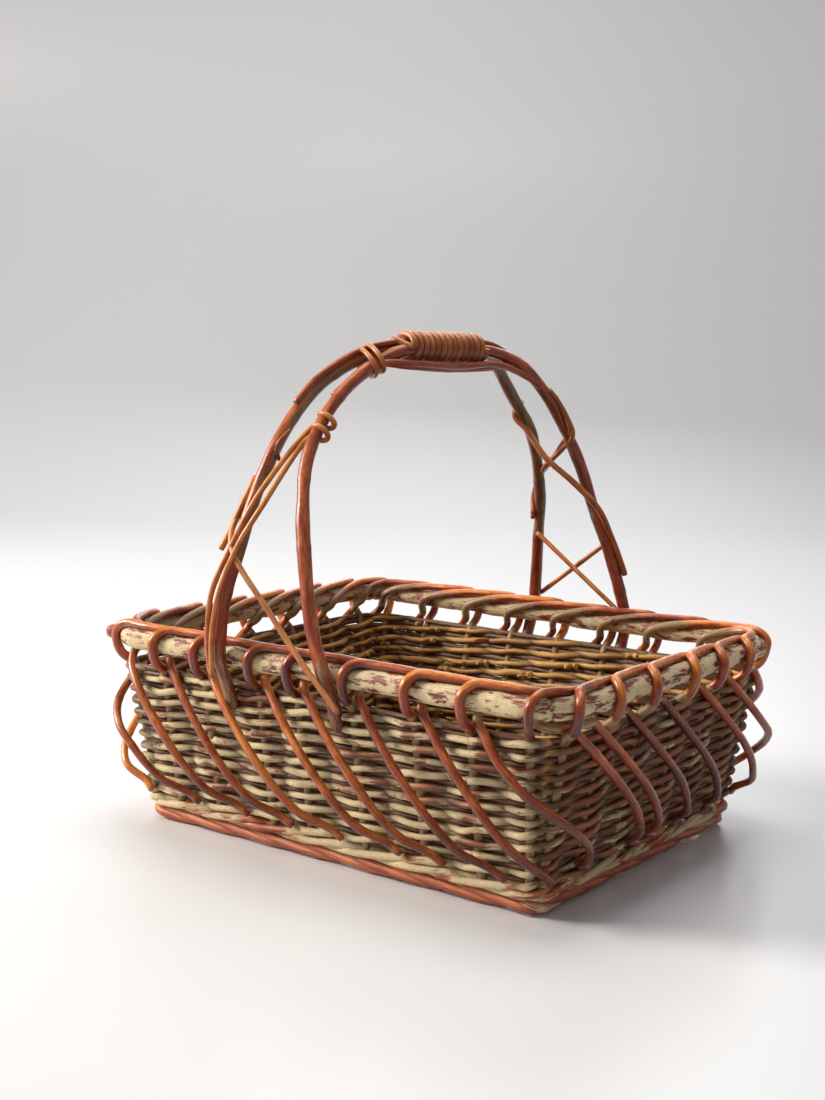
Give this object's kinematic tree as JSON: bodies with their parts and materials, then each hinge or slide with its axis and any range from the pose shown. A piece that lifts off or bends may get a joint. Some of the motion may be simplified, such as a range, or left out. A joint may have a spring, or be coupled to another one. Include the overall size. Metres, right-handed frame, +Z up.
{
  "type": "woven fruit basket",
  "caption": "Oblong woven willow basket with an open border of looped stakes, slanting outer rods and a tall double-bow handle with a bound grip.",
  "frame": {"origin": "on the table, under the middle of the basket", "axes": "+Z up, +X along the long side to the right, -Y towards the front long side; the handle spans from front to back along Y"},
  "size_m": [0.4746, 0.407, 0.4236],
  "materials": {
    "bark_rod": "satin",
    "rim_paint": "satin",
    "weave_outside": "satin",
    "foot_rod": "satin",
    "base_willow": "satin",
    "thin_rod": "satin"
  },
  "bodies": {
    "root": {"base_sticks": "base_willow", "base_weave": "base_willow", "foot_border": "foot_rod", "foot_wale": "foot_rod", "front_wall_weave": "weave_outside", "right_wall_weave": "weave_outside", "back_wall_weave": "weave_outside", "left_wall_weave": "weave_outside", "front_stakes": "bark_rod", "right_stakes": "bark_rod", "back_stakes": "bark_rod", "left_stakes": "bark_rod", "rim_rods_long": "rim_paint", "rim_rods_short": "rim_paint", "handle_bow_left": "bark_rod", "handle_bow_right": "bark_rod", "grip_filler_rods": "bark_rod", "grip_binding": "thin_rod", "shoulder_binding": "thin_rod", "leg_lashings": "thin_rod", "front_brace": "thin_rod", "long_tie": "thin_rod", "short_tie": "thin_rod", "back_braces": "thin_rod"}
  },
  "joints": []
}
